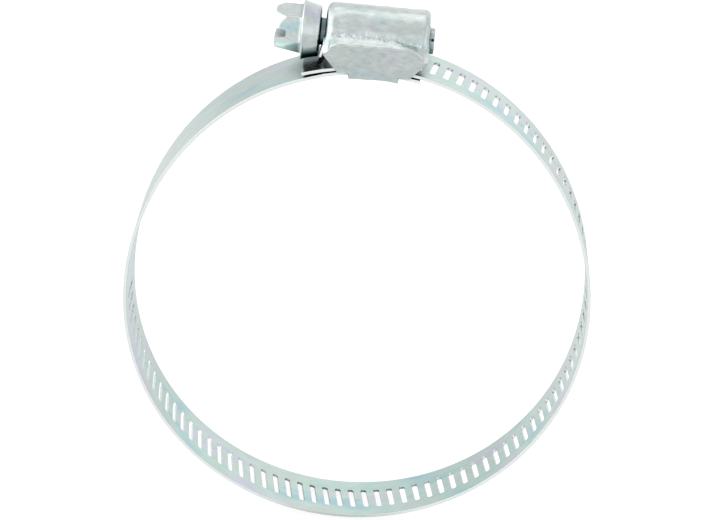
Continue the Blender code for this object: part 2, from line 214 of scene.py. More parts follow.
def zinc(
    name,
    tints,
    brightness,
    roughness,
    tint_scale,
    cloud_scale,
    cloud_depth,
    grain_scale,
    grain_depth,
    painted_shade_reach,
    attribute=None,
    cut=0.0,
):
    """Zinc-plated steel: drifting tints, cloudy spangle, fine grain, near-white cut edges that are partly a
    painted highlight, and painted shade in crevices.
    """
    material = bpy.data.materials.new(name)
    material.use_nodes = True
    tree = material.node_tree
    shader = tree.nodes["Principled BSDF"]
    if attribute:
        coords = add_node(tree, "ShaderNodeAttribute", attribute_name=attribute).outputs["Vector"]
    else:
        coords = add_node(tree, "ShaderNodeTexCoord").outputs["Object"]
    tint = stretched_noise(tree, coords, tint_scale, detail=2.0, distortion=0.4)
    colour = colour_ramp(tree, tint, tints)
    cloud = stretched_noise(tree, coords, cloud_scale, detail=5.0, roughness=0.6)
    shade = remap(tree, cloud, NOISE_RANGE, brightness)
    colour = mix_colour(tree, 1.0, colour, shade, "MULTIPLY")
    grain = stretched_noise(tree, coords, grain_scale, detail=4.0, roughness=0.65)
    # partly painted highlight: where the cut attribute is set, the colour goes towards near white
    if cut:
        edge = add_node(tree, "ShaderNodeAttribute", attribute_name="cut").outputs["Fac"]
        edge = math_node(tree, "MULTIPLY", edge, cut)
        colour = mix_colour(tree, edge, colour, CUT_AND_HIGHLIGHT_COLOUR)
    # painted shade: ambient occlusion darkens the colour towards near-black in crevices and under other parts
    occlusion = add_node(tree, "ShaderNodeAmbientOcclusion", {"Distance": painted_shade_reach}, samples=8).outputs["AO"]
    openness = remap(tree, occlusion, OPENNESS_RANGE, (0.0, 1.0))
    colour = mix_colour(tree, openness, PAINTED_SHADE_COLOUR, colour)
    tree.links.new(colour, shader.inputs["Base Color"])
    shader.inputs["Metallic"].default_value = 1.0
    tree.links.new(remap(tree, grain, NOISE_RANGE, roughness), shader.inputs["Roughness"])
    cloud_bump = add_node(tree, "ShaderNodeBump", {"Strength": 1.0, "Distance": cloud_depth, "Height": cloud})
    grain_bump = add_node(
        tree,
        "ShaderNodeBump",
        {"Strength": 1.0, "Distance": grain_depth, "Height": grain, "Normal": cloud_bump.outputs[0]},
    )
    tree.links.new(grain_bump.outputs[0], shader.inputs["Normal"])
    return material


GREEN = (0.47, 0.62, 0.58)
BLUE = (0.38, 0.55, 0.60)
LILAC = (0.53, 0.56, 0.64)
NEUTRAL = (0.52, 0.61, 0.58)


def band_material():
    tints = [(0.34, BLUE), (0.45, GREEN), (0.55, NEUTRAL), (0.66, LILAC)]
    return zinc(
        "band_zinc",
        tints,
        brightness=(0.94, 1.05),
        roughness=(0.20, 0.30),
        tint_scale=(55.0, 170.0, 60.0),
        cloud_scale=(260.0, 420.0, 300.0),
        cloud_depth=0.00001,
        grain_scale=(160.0, 9000.0, 300.0),
        grain_depth=0.0000015,
        painted_shade_reach=0.0075,
        attribute="strip",
        cut=0.8,
    )


def housing_material():
    tints = [
        (0.32, (0.46, 0.56, 0.58)),
        (0.44, (0.51, 0.57, 0.565)),
        (0.56, (0.55, 0.60, 0.585)),
        (0.68, (0.545, 0.575, 0.61)),
    ]
    return zinc(
        "housing_zinc",
        tints,
        brightness=(0.84, 1.10),
        roughness=(0.17, 0.30),
        tint_scale=(120.0, 200.0, 260.0),
        cloud_scale=(600.0, 1100.0, 1300.0),
        cloud_depth=0.000023,
        grain_scale=(5000.0, 7000.0, 7000.0),
        grain_depth=0.000002,
        painted_shade_reach=0.0022,
    )


def screw_material():
    tints = [(0.32, BLUE), (0.44, (0.50, 0.56, 0.555)), (0.56, (0.55, 0.595, 0.585)), (0.68, LILAC)]
    return zinc(
        "screw_zinc",
        tints,
        brightness=(0.90, 1.05),
        roughness=(0.17, 0.28),
        tint_scale=(160.0, 260.0, 260.0),
        cloud_scale=(1100.0, 1400.0, 1400.0),
        cloud_depth=0.000022,
        grain_scale=(3000.0, 9000.0, 9000.0),
        grain_depth=0.000002,
        painted_shade_reach=0.0065,
        cut=0.42,
    )


# near-white metal for the housing's rims and rounded edges: bare cut steel, brightened as a painted highlight
def cut_steel_and_highlight_material():
    tints = [(0.35, (0.88, 0.92, 0.92)), (0.65, (0.95, 0.96, 0.95))]
    return zinc(
        "cut_edge_and_highlight",
        tints,
        brightness=(0.95, 1.05),
        roughness=(0.22, 0.34),
        tint_scale=(200.0, 200.0, 200.0),
        cloud_scale=(2000.0, 2000.0, 2000.0),
        cloud_depth=0.00001,
        grain_scale=(6000.0, 6000.0, 6000.0),
        grain_depth=0.000002,
        painted_shade_reach=0.0010,
    )


# ---------------------------------------------------------------- meshes


def new_object(name, points, faces, materials):
    """A closed mesh object, smooth shaded, from points in millimetres."""
    mesh = bpy.data.meshes.new(name)
    mesh.from_pydata([(x * MM, y * MM, z * MM) for x, y, z in points], [], faces)
    shaped = bmesh.new()
    shaped.from_mesh(mesh)
    bmesh.ops.recalc_face_normals(shaped, faces=shaped.faces)
    shaped.to_mesh(mesh)
    shaped.free()
    mesh.shade_smooth()
    for material in materials:
        mesh.materials.append(material)
    piece = bpy.data.objects.new(name, mesh)
    bpy.context.scene.collection.objects.link(piece)
    return piece


def apply_modifiers(piece):
    """Replaces the mesh by the one its modifiers make."""
    bpy.context.view_layer.update()
    evaluated = piece.evaluated_get(bpy.context.evaluated_depsgraph_get())
    mesh = bpy.data.meshes.new_from_object(evaluated)
    piece.modifiers.clear()
    piece.data = mesh


# ---------------------------------------------------------------- the strip


def ring_distance(angle):
    """From the ring's centre to the strip's middle line, at an angle from the top towards -X."""
    spiral = SPIRAL_RISE * (angle / TURN - 1.0) - LEVELLING * np.sin(2 * angle)
    return RING_RADIUS + spiral + OVAL * np.cos(2 * angle) + EGG * np.cos(3 * angle)


CENTRE_Z = THICKNESS / 2 - ANCHOR_LIFT - float(ring_distance(0.0))


class StripPath:
    """The strip's middle line. Its length is counted from the slot under the screw, number 0."""

    def __init__(self):
        self.angles = np.linspace(ANCHOR_END_ANGLE - 0.1, TAIL_TIP_ANGLE + 0.1, 40001)
        distance = ring_distance(self.angles)
        self.x = -distance * np.sin(self.angles)
        self.z = CENTRE_Z + distance * np.cos(self.angles)
        steps = np.hypot(np.diff(self.x), np.diff(self.z))
        self.length = np.concatenate([[0.0], np.cumsum(steps)])
        self.length -= np.interp(TURN, self.angles, self.length) - SLOT_SHIFT

    def length_at(self, angle):
        return float(np.interp(angle, self.angles, self.length))

    def middle(self, length):
        return np.stack([np.interp(length, self.length, self.x), np.interp(length, self.length, self.z)], -1)

    def along(self, length):
        ahead, behind = self.middle(length + 0.2), self.middle(length - 0.2)
        return (ahead - behind) / np.linalg.norm(ahead - behind, axis=-1, keepdims=True)

    def place(self, length, across, height):
        """World positions, in millimetres, and the along and outward directions there, in x and z."""
        angle = np.interp(length, self.length, self.angles)
        start, end = LIFT_ANGLES
        lifted = height + ANCHOR_LIFT * (1.0 - smooth_step((angle - start) / (end - start)))
        along = self.along(length)
        outward = np.stack([along[:, 1], -along[:, 0]], -1)
        middle = self.middle(length) + outward * lifted[:, None]
        return np.stack([middle[:, 0], across, middle[:, 1]], -1), along, outward


def slot_outline():
    """(along, across, normal along, normal across) round a slot, as four corner arcs."""
    arcs = []
    inner_x, inner_y = SLOT_WIDTH / 2 - SLOT_CORNER, SLOT_LENGTH / 2 - SLOT_CORNER
    for quarter, (side_x, side_y) in zip((-1, 0, 1, 2), ((1, -1), (1, 1), (-1, 1), (-1, -1))):
        arc = []
        for step in range(ARC_STEPS + 1):
            turned = math.radians(90.0 * quarter + 90.0 * step / ARC_STEPS)
            normal_x, normal_y = math.cos(turned), math.sin(turned)
            x = side_x * inner_x + SLOT_CORNER * normal_x
            y = side_y * inner_y + SLOT_CORNER * normal_y
            arc.append((x, y, normal_x, normal_y))
        arcs.append(arc)
    return arcs


class StripMesh:
    """One stretch of the strip: points as (length, across, height) with normals in the same directions."""

    def __init__(self, path):
        self.path = path
        self.places = []
        self.normals = []
        self.faces = []
        self.flat_faces = set()

    def point(self, length, across, height, normal):
        self.places.append((length, across, height))
        self.normals.append(normal)
        return len(self.places) - 1

    def section(self, length, slanted):
        """The eight corners of the strip's cross-section, from the outer face round to the front edge."""
        slant = SLOT_SLANT if slanted else 0.0
        wide, high = WIDTH / 2, THICKNESS / 2
        corners = [
            (-(wide - EDGE), high, (0, 0, 1)),
            (wide - EDGE, high, (0, 0, 1)),
            (wide, high - EDGE, (0, 1, 0)),
            (wide, EDGE - high, (0, 1, 0)),
            (wide - EDGE, -high, (0, 0, -1)),
            (-(wide - EDGE), -high, (0, 0, -1)),
            (-wide, EDGE - high, (0, -1, 0)),
            (-wide, high - EDGE, (0, -1, 0)),
        ]
        return [self.point(length - across * slant, across, height, n) for across, height, n in corners]

    def slot_rings(self, centre):
        """Four rings of corner arcs down through a slot: outer face, wall, wall, inner face."""
        rings = []
        high = THICKNESS / 2
        levels = ((high, EDGE, 1), (high - EDGE, 0, 0), (EDGE - high, 0, 0), (-high, EDGE, -1))
        for height, grown, facing in levels:
            ring = []
            for arc in slot_outline():
                points = []
                for x, y, normal_x, normal_y in arc:
                    across = y + grown * normal_y
                    length = centre + x + grown * normal_x - across * SLOT_SLANT
                    wall = (-normal_x, -normal_y - SLOT_SLANT * normal_x, 0)
                    points.append(self.point(length, across, height, wall if facing == 0 else (0, 0, facing)))
                ring.append(points)
            rings.append(ring)
        return rings

    def slotted_face(self, corners, ring):
        """The sheet between a cell's four corners and a slot's ring."""
        for number, (corner, arc) in enumerate(zip(corners, ring)):
            for first, second in zip(arc, arc[1:]):
                self.faces.append([corner, second, first])
            after = (number + 1) % 4
            self.faces.append([corner, corners[after], ring[after][0], arc[-1]])

    def cell(self, start, end, slot_centre):
        for number in range(8):
            if slot_centre is not None and number in (0, 4):
                continue
            after = (number + 1) % 8
            self.faces.append([start[number], start[after], end[after], end[number]])
        if slot_centre is None:
            return
        rings = self.slot_rings(slot_centre)
        self.slotted_face([end[0], end[1], start[1], start[0]], rings[0])
        self.slotted_face([end[5], end[4], start[4], start[5]], rings[3])
        flat = [[point for arc in ring for point in arc] for ring in rings]
        for upper, lower in zip(flat, flat[1:]):
            for number in range(len(upper)):
                after = (number + 1) % len(upper)
                self.faces.append([upper[number], upper[after], lower[after], lower[number]])

    def seam(self, section):
        self.flat_faces.add(len(self.faces))
        self.faces.append(list(section))

    def rounded_end(self, section, length, direction):
        """Closes the strip's own end, EDGE beyond the last section."""
        wide, high = WIDTH / 2 - EDGE, THICKNESS / 2 - EDGE
        normal = (direction, 0, 0)
        places = ((-wide, high), (wide, high), (wide, -high), (-wide, -high))
        ring = [self.point(length, across, height, normal) for across, height in places]
        for number in range(4):
            after = (number + 1) % 4
            first, second, third = section[2 * number], section[2 * number + 1], section[(2 * number + 2) % 8]
            self.faces.append([first, second, ring[after], ring[number]])
            self.faces.append([second, third, ring[after]])
        self.faces.append(ring)

    def build(self, stations, slots, start_is_end, end_is_end):
        """stations holds (length, slanted) of each line across; slots a slot centre or None for each cell."""
        lines = [self.section(*station) for station in stations]
        for first, second, slot in zip(lines, lines[1:], slots):
            self.cell(first, second, slot)
        if start_is_end:
            self.rounded_end(lines[0], stations[0][0] - EDGE, -1)
        else:
            self.seam(lines[0])
        if end_is_end:
            self.rounded_end(lines[-1], stations[-1][0] + EDGE, 1)
        else:
            self.seam(lines[-1])

    def finish(self, name, material):
        places = np.array(self.places, float)
        normals = np.array(self.normals, float)
        points, along, outward = self.path.place(places[:, 0], places[:, 1], places[:, 2])
        world = np.stack(
            [
                normals[:, 0] * along[:, 0] + normals[:, 2] * outward[:, 0],
                normals[:, 1],
                normals[:, 0] * along[:, 1] + normals[:, 2] * outward[:, 1],
            ],
            -1,
        )
        world /= np.linalg.norm(world, axis=1, keepdims=True)
        piece = new_object(name, points, self.faces, [material])
        mesh = piece.data
        strip = mesh.attributes.new("strip", "FLOAT_VECTOR", "POINT")
        strip.data.foreach_set("vector", (places * MM).astype(np.float32).ravel())
        # walls and edge roundings get the near-white cut colour: bare cut steel, brightened as a painted
        # highlight
        cut = mesh.attributes.new("cut", "FLOAT", "POINT")
        cut.data.foreach_set("value", (np.abs(normals[:, 2]) < 0.5).astype(np.float32))
        loop_normals = [None] * len(mesh.loops)
        for polygon in mesh.polygons:
            for loop in polygon.loop_indices:
                if polygon.index in self.flat_faces:
                    loop_normals[loop] = tuple(polygon.normal)
                else:
                    loop_normals[loop] = tuple(world[mesh.loops[loop].vertex_index])
        mesh.normals_split_custom_set(loop_normals)
        return piece


def strip_piece(name, path, start, end, material, start_is_end=False, end_is_end=False):
    """A stretch from start to end, given as lengths. Cells of one slot pitch lie between half-slot lines."""
    strip = StripMesh(path)
    first_line = math.ceil(start / PITCH - 0.5 + 1e-6) + 0.5
    last_line = math.floor(end / PITCH - 0.5 - 1e-6) + 0.5
    lines = list(np.arange(first_line, last_line + 0.1, 1.0))
    if start_is_end:
        lines = [line for line in lines if line * PITCH > start + END_CLEARANCE]
    if end_is_end:
        lines = [line for line in lines if line * PITCH < end - END_CLEARANCE]
    stations = [(line * PITCH, True) for line in lines]
    if start_is_end or start < (lines[0] - 0.01) * PITCH:
        stations.insert(0, (start, not start_is_end))
    if end_is_end or end > (lines[-1] + 0.01) * PITCH:
        stations.append((end, not end_is_end))
    slots = []
    for (before, _), (after, _) in zip(stations, stations[1:]):
        number = round((before + after) / 2 / PITCH)
        whole = abs(after - before - PITCH) < 0.01
        slots.append(number * PITCH if whole and FIRST_SLOT <= number <= LAST_SLOT else None)
    strip.build(stations, slots, start_is_end, end_is_end)
    return strip.finish(name, material)


def world_point(path, length):
    x, z = path.middle(np.array([length]))[0]
    return (x * MM, 0.0, z * MM)


def add_strip(material):
    """The strip in stretches that run from mid-section to mid-section."""
    path = StripPath()
    free_end = path.length_at(ANCHOR_END_ANGLE) + EDGE
    tip = path.length_at(TAIL_TIP_ANGLE) - EDGE
    seam = FIRST_SEAM * PITCH
    anchored = strip_piece("band_anchored_stretch", path, free_end, seam, material, start_is_end=True)
    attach(anchored, "housing")
    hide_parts("band_anchored_end")
    hinges = np.arange(FIRST_HINGE, LAST_HINGE + 1, HINGE_STEP)
    for number, hinge in enumerate(hinges):
        last = number == len(hinges) - 1
        node = "band_tail" if last else f"band_section_{number + 1:02d}"
        end = tip if last else (hinge + HINGE_STEP / 2) * PITCH
        piece = strip_piece(f"band_stretch_{number + 1:02d}", path, seam, end, material, end_is_end=last)
        start_point = world_point(path, seam + BEND_MARGIN)
        end_point = world_point(path, end - BEND_MARGIN)
        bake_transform(piece)
        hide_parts(node)
        seam = end


# ---------------------------------------------------------------- the screw


# degrees from one corner of the hexagon towards the next, closer together at the corners
SECTOR = (0, 1.2, 2.6, *(4.5 + 3.0 * step for step in range(18)), 57.4, 58.8)
FIRST_ANGLE = math.pi - HEX_TILT + TURN / 4
ANGLES = [FIRST_ANGLE + math.radians(60.0 * sector + offset) for sector in range(6) for offset in SECTOR]
SIDES = len(ANGLES)
SOFTNESS = 70.0  # the higher it is, the sharper are the hexagon's corners
BRIGHT_FADE = 0.1  # over this depth the head's turned zones, with their painted highlight, give way to its pressed flats


def hex_radius(angle):
    """From the axis to the hexagon's outline, with slightly rounded corners."""
    total = 0.0
    for flat in range(6):
        facing = math.cos(angle - (math.pi - HEX_TILT) - flat * TURN / 6)
        total += max(facing, 0.0) ** SOFTNESS
    return HEX_FLATS / 2 / total ** (1 / SOFTNESS)


def blank_radius(angle, depth):
    """The head's tapered blank, before its flats are pressed; depth is counted from the head's end."""
    lean = math.cos(angle - TAPER_LEAN_ANGLE)
    start = TAPER_START + TAPER_OFFSET * lean
    if depth < HEAD_ROUNDING:
        return start - HEAD_ROUNDING + math.sqrt(HEAD_ROUNDING**2 - (HEAD_ROUNDING - depth) ** 2)
    return start + (TAPER_SLOPE + TAPER_LEAN * lean) * (depth - HEAD_ROUNDING)


def head_radius(angle, depth):
    """The blank with six flats pressed into it."""
    blank, flats = blank_radius(angle, depth), hex_radius(angle)
    return (blank ** (-2 * SOFTNESS) + flats ** (-2 * SOFTNESS)) ** (-0.5 / SOFTNESS)


class ScrewMesh:
    """Rings of points along the screw, joined in turn, with a helical thread in the middle."""

    def __init__(self):
        self.points = []
        self.faces = []
        self.bright = []

    def put(self, x, radius, angle):
        """Adds a point. Its colour is near white on turned metal, between the head's flats and on the
        flange's rim: partly the turned metal, partly a painted highlight.
        """
        on_rim = FLANGE_LEFT - 0.01 < x < FLANGE_LEFT + RIM_WIDTH
        turned = 1.0 if on_rim else 0.0
        if x < HEAD_ROOT:
            depth = max(x - HEAD_END, 0.0)
            turned = (hex_radius(angle) - blank_radius(angle, depth)) / BRIGHT_FADE
        self.bright.append(min(max(turned, 0.0), 1.0))
        self.points.append((x, radius * math.cos(angle), AXIS_Z + radius * math.sin(angle)))
        return len(self.points) - 1

    def ring(self, x, radius_of):
        return [self.put(x, radius_of(angle), angle) for angle in ANGLES]

    def round_ring(self, x, radius):
        return self.ring(x, lambda angle: radius)

    def join(self, first, second):
        for side in range(SIDES):
            after = (side + 1) % SIDES
            self.faces.append([first[side], first[after], second[after], second[side]])

    def join_all(self, rings):
        for first, second in zip(rings, rings[1:]):
            self.join(first, second)

    def thread(self, start_ring, end_ring):
        """Rows that follow the helix: foot, flank, rounded crest, flank, foot."""
        half = [(0.5, 0.0), (0.33, 0.52), (0.17, 0.94), (0.1, 1.0)]  # (along the screw, share of the height)
        profile = [(-offset, raised) for offset, raised in half] + half[::-1]
        at_bottom = 0.75  # in turns, where the thread passes through the strip
        ramp = 0.5  # turns over which the thread rises and runs out
        finish = THREAD_TURNS - 1.0 / SIDES
        rows = []
        for turn in range(THREAD_TURNS):
            for offset, raised in profile:
                row = []
                for angle in ANGLES:
                    done = turn + (angle - ANGLES[0]) / TURN
                    height = raised * max(0.0, min(1.0, done / ramp, (finish - done) / ramp))
                    reach = THREAD_ROOT + height * (THREAD_RADIUS - THREAD_ROOT)
                    turned = turn - THREAD_TURNS // 2 + angle / TURN - at_bottom
                    row.append(self.put(SLOT_SHIFT + PITCH * turned + offset, reach, angle))
                rows.append(row)
        per_pitch = len(profile)
        for number, (row, following) in enumerate(zip(rows, rows[1:])):
            for side in range(SIDES - 1):
                self.faces.append([row[side], row[side + 1], following[side + 1], following[side]])
            if number + 1 + per_pitch < len(rows):
                wrapped, wrapped_next = rows[number + per_pitch][0], rows[number + 1 + per_pitch][0]
                self.faces.append([row[-1], wrapped, wrapped_next, following[-1]])
        for side in range(SIDES - 1):
            self.faces.append([start_ring[side], start_ring[side + 1], rows[0][side + 1], rows[0][side]])
            self.faces.append([rows[-1][side], rows[-1][side + 1], end_ring[side + 1], end_ring[side]])
        seam = [rows[number][0] for number in range(per_pitch, -1, -1)]
        self.faces.append([rows[0][-1], *seam, start_ring[0], start_ring[-1]])
        seam = [rows[number][-1] for number in range(len(rows) - 1 - per_pitch, len(rows))]
        self.faces.append([rows[-1][0], *seam, end_ring[-1], end_ring[0]])


def pilot_radius(x, angle):
    """The pilot has a small drilled mark in its side."""
    mark_x, mark_angle = 9.6, math.pi - math.radians(24.0)
    depth, flat_reach, wall = 0.45, 0.12, 0.16
    away = math.hypot(x - mark_x, (angle - mark_angle + math.pi) % TURN * PILOT - math.pi * PILOT)
    return PILOT - depth * float(1.0 - smooth_step((away - flat_reach) / wall))


def add_screw(material):
    screw = ScrewMesh()
    thread_half = THREAD_TURNS / 2 * PITCH + THREAD_RUN_OUT
    thread_start, thread_end = SLOT_SHIFT - thread_half, SLOT_SHIFT + thread_half
    end_rings = [screw.round_ring(HEAD_END, share * END_FACE) for share in (0.5, 1.0)]
    depths = [0.0, 0.012, 0.05, 0.11, 0.2, 0.35, 0.45] + [0.6 + 0.12 * step for step in range(31)]
    head = [screw.ring(HEAD_END + depth, lambda angle: head_radius(angle, depth)) for depth in depths]
    root = HEAD_END + depths[-1]
    flare = []
    for share in (0.3, 0.6, 0.85, 1.0):
        grown = FLARE * (1 - math.sqrt(1 - share**2))
        flare.append(
            screw.ring(
                root + share * (FLANGE_LEFT - root),
                lambda angle: head_radius(angle, depths[-1]) + grown * (1 if share < 1.0 else 0.75),
            )
        )
    flange_profile = [
        (FLANGE_LEFT, FLANGE_RADIUS - 0.3),
        (FLANGE_LEFT + 0.03, FLANGE_RADIUS - 0.14),
        (FLANGE_LEFT + 0.1, FLANGE_RADIUS - 0.04),
        (FLANGE_LEFT + 0.22, FLANGE_RADIUS),
        (FLANGE_LEFT + 0.34, FLANGE_RADIUS),
        (FLANGE_LEFT + 0.5, FLANGE_RADIUS - 0.12),
        (FLANGE_LEFT + 0.7, FLANGE_RADIUS - 0.2),
        (FLANGE_LEFT + 1.2, FLANGE_RADIUS - 0.36),
        (FLANGE_LEFT + 1.8, FLANGE_RADIUS - 0.51),
        (FLANGE_LEFT + 2.4, FLANGE_RADIUS - 0.65),
        (FLANGE_RIGHT - 0.34, FLANGE_TAPERED + 0.06),
        (FLANGE_RIGHT - 0.2, FLANGE_TAPERED),
        (FLANGE_RIGHT - 0.06, FLANGE_TAPERED - 0.12),
        (FLANGE_RIGHT, FLANGE_TAPERED - 0.3),
        (FLANGE_RIGHT, NECK + 0.5),
        (FLANGE_RIGHT + 0.05, NECK + 0.15),
        (FLANGE_RIGHT + 0.2, NECK),
        (FLANGE_RIGHT + 1.2, NECK),
        (thread_start - 0.2, NECK),
    ]
    flange = [screw.round_ring(x, radius) for x, radius in flange_profile]
    start = screw.round_ring(thread_start, THREAD_ROOT)
    finish = screw.round_ring(thread_end, THREAD_ROOT)
    pilot = [screw.round_ring(thread_end + 0.2, PILOT)]
    pilot += [screw.ring(x, lambda angle: pilot_radius(x, angle)) for x in np.arange(9.35, 9.9, 0.06)]
    pilot += [screw.round_ring(PILOT_END - 0.03, PILOT - 0.06), screw.round_ring(PILOT_END, PILOT - 0.2)]
    centre_hole = [screw.round_ring(PILOT_END, 0.7), screw.round_ring(PILOT_END - 0.5, 0.15)]
    pilot += centre_hole
    screw.faces.append(end_rings[0])
    screw.join_all([*end_rings, *head, *flare, *flange, start])
    screw.thread(start, finish)
    screw.join_all([finish, *pilot])
    screw.faces.append(pilot[-1])
    piece = new_object("worm_screw_turned", screw.points, screw.faces, [material])
    # turned zones get the near-white cut colour: turned metal, brightened as a painted highlight
    cut = piece.data.attributes.new("cut", "FLOAT", "POINT")
    cut.data.foreach_set("value", np.array(screw.bright, np.float32))
    cut_driver_slot(piece)
    piece.data.shade_smooth()
    piece.data.set_sharp_from_angle(angle=math.radians(38.0))
    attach(piece, "screw")
    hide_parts("worm_screw")


def cut_driver_slot(piece):
    """A screwdriver slot across the head's end, with sloping walls and rounded floor corners."""
    mouth, floor = (width / 2 for width in DRIVER_SLOT_WIDTHS)
    rounding = 0.3
    outside = mouth + (mouth - floor) / DRIVER_SLOT_DEPTH
    outline = [(-1.0, outside), (DRIVER_SLOT_DEPTH - rounding, floor)]
    for step in range(1, 5):
        turned = math.radians(22.5 * step)
        along = DRIVER_SLOT_DEPTH - rounding + rounding * math.sin(turned)
        outline.append((along, floor - rounding + rounding * math.cos(turned)))
    lower = [(along, -height) for along, height in reversed(outline)]
    outline = [(along, height + DRIVER_SLOT_RISE) for along, height in outline + lower]
    points = []
    for across in (-HEX_FLATS, HEX_FLATS):
        for along, height in outline:
            y = across * math.cos(DRIVER_SLOT_TILT) + height * math.sin(DRIVER_SLOT_TILT)
            z = -across * math.sin(DRIVER_SLOT_TILT) + height * math.cos(DRIVER_SLOT_TILT)
            points.append((HEAD_END + along, y, AXIS_Z + z))
    count = len(outline)
    faces = [list(range(count)), list(range(2 * count - 1, count - 1, -1))]
    faces += [[n, (n + 1) % count, count + (n + 1) % count, count + n] for n in range(count)]
    cutter = new_object("driver_slot_cutter", points, faces, [])
    cut = piece.modifiers.new("driver_slot", "BOOLEAN")
    cut.operation = "DIFFERENCE"
    cut.solver = "EXACT"
    cut.object = cutter
    apply_modifiers(piece)
    bpy.data.objects.remove(cutter)


# ---------------------------------------------------------------- the housing


def rounded_line(points, radii, straight_steps, arc_steps=5):
    """A polyline with an arc in place of each inner corner, as evenly cut points."""
    result = []
    start = np.array(points[0], float)
    for number in range(1, len(points)):
        corner = np.array(points[number], float)
        before = (corner - start) / np.linalg.norm(corner - start)
        if number == len(points) - 1:
            for step in range(straight_steps[number - 1] + 1):
                result.append(start + (corner - start) * step / straight_steps[number - 1])
            break
        after = np.array(points[number + 1], float) - corner
        after /= np.linalg.norm(after)
        turned = math.acos(float(np.clip(before @ after, -1.0, 1.0)))
        reach = radii[number - 1] * math.tan(turned / 2)
        arc_start, arc_end = corner - before * reach, corner + after * reach
        for step in range(straight_steps[number - 1]):
            result.append(start + (arc_start - start) * step / straight_steps[number - 1])
        for step in range(arc_steps):
            share = step / arc_steps
            first = arc_start + (corner - arc_start) * share
            second = corner + (arc_end - corner) * share
            result.append(first + (second - first) * share)
        start = arc_end
    return result


HUMP_ROWS = 20
CREASE_ROW = HUMP_ROWS + 6
DENT_DEPTH = 0.13
DENT_REACH = 0.55  # from the crease
WAVE_DEPTH = 0.085


def side_profile(x, side):
    """(across, height) from the hump's top down one side to the tab's inner end, in the plane at x.

    The crease under the hump runs lower towards the right end, and the skirt's shoulder dips at both ends.
    """
    lower = float(smooth_step((x - 1.5) / 7.0)) if side < 0 else 0.35 * float(smooth_step((x - 3.0) / 6.0))
    left_dip = math.exp(-(((x + 9.4) / 1.3) ** 2))
    right_dip = math.exp(-(((x - 9.3) / 1.5) ** 2))
    end = math.radians(HUMP_END_ANGLE)
    hump = []
    for row in range(HUMP_ROWS):
        turned = math.pi / 2 + (end - math.pi / 2) * row / HUMP_ROWS
        hump.append((HUMP * math.cos(turned), HUMP * math.sin(turned)))
    foot = np.array([HUMP * math.cos(end), HUMP * math.sin(end)])
    down = np.array([math.sin(end), -math.cos(end)])
    crease = foot + down * (0.75 + 0.75 * lower + 0.6 * left_dip + 0.3 * right_dip)
    shoulder = (SKIRT_Y, 0.5 - 1.9 * left_dip - 2.1 * right_dip)
    line = [tuple(foot), tuple(crease), shoulder, (SKIRT_Y, TAB_BOTTOM), (TAB_REACH, TAB_BOTTOM)]
    return hump + [tuple(point) for point in rounded_line(line, (0.3, 0.4, 0.75), (4, 8, 22, 9), 6)]


def housing_columns():
    """(x on the hump, inward curl, x on the skirts) of each column, from the left end to the right one."""
    columns = []
    steps = 9
    for side, curl in ((-1, CURL_LEFT), (1, CURL_RIGHT)):
        ends = [(0.0, curl + END_WALL * (1 - step / 4)) for step in range(4)]
        for step in range(steps + 1):
            turned = math.radians(90.0 * step / steps)
            ends.append((curl * (1 - math.cos(turned)), curl * (1 - math.sin(turned))))
        half = []
        for number, (distance, inward) in enumerate(ends):
            skirt = curl * number / (len(ends) - 1)
            half.append((side * (HALF_LENGTH - distance), inward, side * (HALF_LENGTH + SKIRT_FLARE - skirt)))
        columns.append(half)
    left, right = columns
    flat_left = np.linspace(left[-1][0], -TAB_LENGTH, 22)[1:]
    flat_middle = np.linspace(-TAB_LENGTH, TAB_LENGTH, 50)[1:]
    flat_right = np.linspace(TAB_LENGTH, right[-1][0], 22)[1:-1]
    middle = [(x, 0.0, x) for x in (*flat_left, *flat_middle, *flat_right)]
    return left + middle + right[::-1]


def shortened(x, height):
    """The skirts' lower corners are cut off, so their lower rows are shorter outside the tabs."""
    cut = float(np.clip((CORNER_TOP - height) / (CORNER_TOP - CORNER_BOTTOM), 0.0, 1.0))
    kept = 1.0 - cut * (HALF_LENGTH - CORNER_LENGTH) / (HALF_LENGTH - TAB_LENGTH)
    outside = max(abs(x) - TAB_LENGTH, 0.0)
    return math.copysign(min(abs(x), TAB_LENGTH) + outside * kept, x)


def hammered(x, away, across, height):
    """How far the pressed sheet stands off its plain shape: dents near the crease and broad waves."""
    spot = Vector((x * 2.6, across * 2.0, height * 2.0))
    dents = noise.noise(spot) + 0.7 * noise.noise(spot * 2.1)
    broad = noise.noise(Vector((x * 0.42, across * 0.6 + 7.0, height * 0.6)))
    return DENT_DEPTH * dents * math.exp(-((away / DENT_REACH) ** 2)) + WAVE_DEPTH * broad


